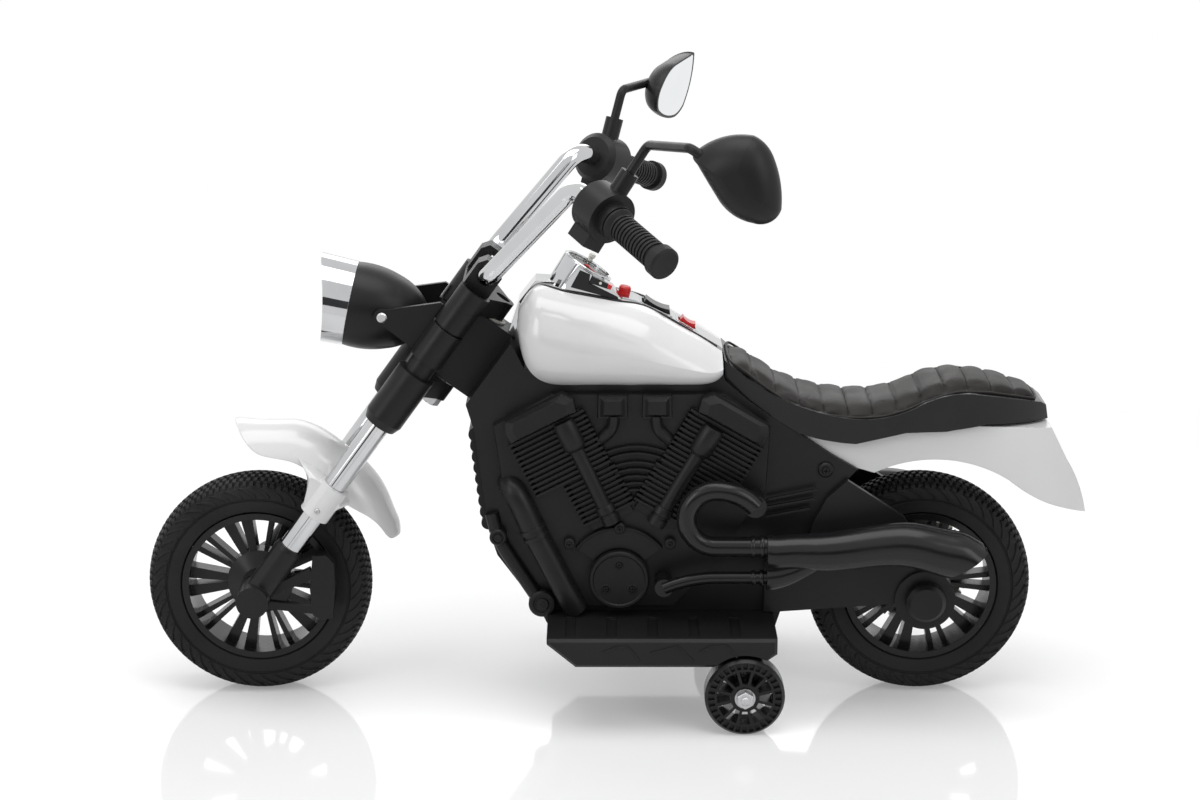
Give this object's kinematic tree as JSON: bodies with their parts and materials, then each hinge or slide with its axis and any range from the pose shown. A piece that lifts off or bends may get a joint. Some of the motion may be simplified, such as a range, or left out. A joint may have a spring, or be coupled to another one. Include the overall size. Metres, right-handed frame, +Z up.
{
  "type": "kids electric motorbike",
  "caption": "Cruiser-style ride-on toy motorbike with raked fork, round headlight, tank panels, stepped seat, dummy engine and stabiliser wheels; steers, rolls and has working switches.",
  "frame": {"origin": "on the ground under the middle of the overall length and width", "axes": "+X forward, +Y to the rider's left, +Z up"},
  "size_m": [0.94, 0.5143, 0.6137],
  "materials": {
    "tyre_black": "matte, moulded tread",
    "wheel_black": "satin gloss",
    "chrome_plated": "bright plated",
    "black_plastic": "satin",
    "gloss_black": "gloss",
    "white_gloss": "gloss",
    "clear_lens": "clear",
    "gauge_face": "clear over a dark dial",
    "mirror_face": "mirror",
    "grip_black": "soft, ribbed",
    "seat_cover": "matte, sewn channels",
    "steel": "brushed",
    "red_switch": "gloss",
    "battery_grey": "matte",
    "board_green": "matte",
    "gear_white": "matte"
  },
  "bodies": {
    "frame": {"head_bushes": "gear_white", "body_shell_left": "black_plastic", "body_shell_right": "black_plastic", "body_screws": "steel", "engine_covers": "black_plastic", "exhausts": "gloss_black", "swingarms": "black_plastic", "rear_axle": "black_plastic", "gear_motor": "gloss_black", "tank_panel_left": "white_gloss", "tank_panel_right": "white_gloss", "gauge_lens": "gauge_face", "dash_console": "chrome_plated", "seat_base": "gloss_black", "seat_pad": "seat_cover", "rear_fender": "white_gloss", "footboard_left": "black_plastic", "footboard_right": "black_plastic", "stabiliser_bracket": "steel", "stabiliser_bolts": "steel", "battery": "battery_grey", "speaker": "gloss_black", "control_board": "board_green", "wiring_loom": "gloss_black", "charging_socket": "gloss_black"},
    "steering": {"steering_stem": "steel", "lower_yoke": "black_plastic", "upper_yoke": "black_plastic", "handlebar": "chrome_plated", "fork_shrouds": "black_plastic", "fork_tubes": "chrome_plated", "fork_legs": "black_plastic", "front_fender": "white_gloss", "front_axle": "steel", "headlight_shell": "black_plastic", "headlight_rim": "chrome_plated", "headlight_lens": "clear_lens", "headlight_bracket": "black_plastic", "switch_housings": "black_plastic", "grips": "grip_black", "fork_screws": "steel"},
    "front_wheel_set": {"front_tyre": "tyre_black", "front_wheel": "wheel_black"},
    "rear_wheel_set": {"rear_tyre": "tyre_black", "rear_wheel": "wheel_black", "drive_gear": "gear_white"},
    "pinion": {"motor_pinion": "gear_white"},
    "stabiliser_left": {"stabiliser_wheel_left": "wheel_black"},
    "stabiliser_right": {"stabiliser_wheel_right": "wheel_black"},
    "mirror_left": {"mirror_arm_left": "black_plastic", "mirror_shell_left": "black_plastic", "mirror_glass_left": "mirror_face"},
    "mirror_right": {"mirror_arm_right": "black_plastic", "mirror_shell_right": "black_plastic", "mirror_glass_right": "mirror_face"},
    "direction_switch": {"direction_rocker": "gloss_black"},
    "power_switch": {"power_rocker": "red_switch"},
    "horn": {"horn_button": "red_switch"},
    "pedal": {"accelerator_pedal": "grip_black"}
  },
  "joints": [
    {"name": "steering", "type": "hinge", "parent": "frame", "child": "steering", "pos_m": [0.33317, 0, 0.09495], "axis": [-0.585, 0, 0.8111], "range_deg": [-28, 28]},
    {"name": "front_wheel_spin", "type": "hinge", "parent": "steering", "child": "front_wheel_set", "pos_m": [0.3575, 0, 0.1125], "axis": [0, 1, 0], "continuous": true},
    {"name": "rear_wheel_spin", "type": "hinge", "parent": "frame", "child": "rear_wheel_set", "pos_m": [-0.307, 0, 0.1125], "axis": [0, 1, 0], "continuous": true},
    {"name": "pinion_spin", "type": "hinge", "parent": "frame", "child": "pinion", "pos_m": [-0.26168, -0.039, 0.16373], "axis": [0, 1, 0], "continuous": true},
    {"name": "stabiliser_left_spin", "type": "hinge", "parent": "frame", "child": "stabiliser_left", "pos_m": [-0.126, 0.128, 0.039], "axis": [0, 1, 0], "continuous": true},
    {"name": "stabiliser_right_spin", "type": "hinge", "parent": "frame", "child": "stabiliser_right", "pos_m": [-0.126, -0.128, 0.039], "axis": [0, 1, 0], "continuous": true},
    {"name": "mirror_left_swivel", "type": "hinge", "parent": "steering", "child": "mirror_left", "pos_m": [-0.00362, 0.14019, 0.53868], "axis": [-0.5349, -0.0263, 0.8445], "range_deg": [-20, 20]},
    {"name": "mirror_right_swivel", "type": "hinge", "parent": "steering", "child": "mirror_right", "pos_m": [0.00378, -0.14626, 0.54131], "axis": [-0.2503, -0.207, 0.9458], "range_deg": [-20, 20]},
    {"name": "direction_rock", "type": "hinge", "parent": "frame", "child": "direction_switch", "pos_m": [-0.03789, 0, 0.39015], "axis": [0, 1, 0], "range_deg": [-7, 7]},
    {"name": "power_rock", "type": "hinge", "parent": "frame", "child": "power_switch", "pos_m": [-0.06792, 0, 0.37358], "axis": [0, 1, 0], "range_deg": [-7, 7]},
    {"name": "horn_press", "type": "slide", "parent": "frame", "child": "horn", "axis": [0.2282, 0, -0.9736], "range_m": [0, 0.003], "stiffness_N_per_m": 300, "springref_m": -0.001},
    {"name": "pedal_press", "type": "hinge", "parent": "frame", "child": "pedal", "pos_m": [-0.036, -0.097, 0.098], "axis": [0, 1, 0], "range_deg": [0, 11], "stiffness_Nm_per_rad": 0.6, "springref_deg": -5.73}
  ],
  "couplings": [
    {"joint": "pinion_spin", "follows": "rear_wheel_spin", "ratio": -4.6667}
  ]
}
